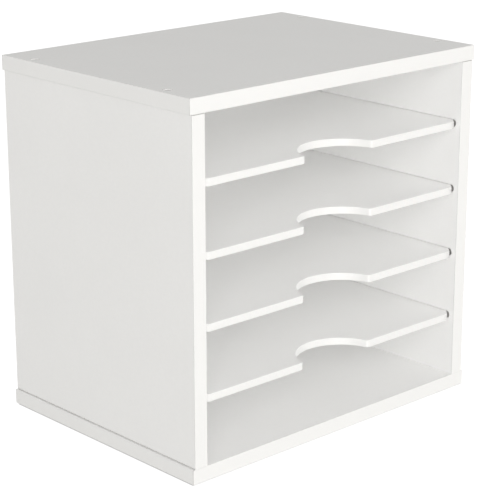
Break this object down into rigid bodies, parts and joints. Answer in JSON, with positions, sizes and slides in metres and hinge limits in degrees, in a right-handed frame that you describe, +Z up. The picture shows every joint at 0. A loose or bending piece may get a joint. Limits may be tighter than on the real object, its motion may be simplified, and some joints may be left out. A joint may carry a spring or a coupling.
{
  "type": "desktop file organizer",
  "caption": "White open-fronted desk organizer: a board box with fixed shelves, each with a round finger scoop in its front edge, for sorting paper and folders.",
  "frame": {"origin": "centre of the footprint, on the surface that the foot pads stand on", "axes": "+Z up; -Y out of the open front; +X to the right of someone looking at the open front"},
  "size_m": [0.33, 0.243, 0.318],
  "materials": {
    "faced_board": "satin",
    "edge_band": "satin",
    "shelf_lacquer": "satin",
    "back_board": "matte",
    "screw_steel": "satin",
    "cap_plastic": "satin",
    "dowel_wood": "matte",
    "foot_foam": "matte"
  },
  "bodies": {
    "root": {"top_panel": "faced_board", "bottom_panel": "faced_board", "left_side_panel": "faced_board", "right_side_panel": "faced_board", "shelf_1": "shelf_lacquer", "shelf_2": "shelf_lacquer", "shelf_3": "shelf_lacquer", "shelf_4": "shelf_lacquer", "back_panel": "back_board", "top_screws": "screw_steel", "bottom_screws": "screw_steel", "top_screw_caps": "cap_plastic", "top_dowels": "dowel_wood", "bottom_dowels": "dowel_wood", "foot_pads": "foot_foam", "top_front_edge_band": "edge_band", "top_rear_edge_band": "edge_band", "top_left_edge_band": "edge_band", "top_right_edge_band": "edge_band", "bottom_front_edge_band": "edge_band", "bottom_rear_edge_band": "edge_band", "bottom_left_edge_band": "edge_band", "bottom_right_edge_band": "edge_band", "left_side_front_edge_band": "edge_band", "left_side_rear_edge_band": "edge_band", "right_side_front_edge_band": "edge_band", "right_side_rear_edge_band": "edge_band"}
  },
  "joints": []
}
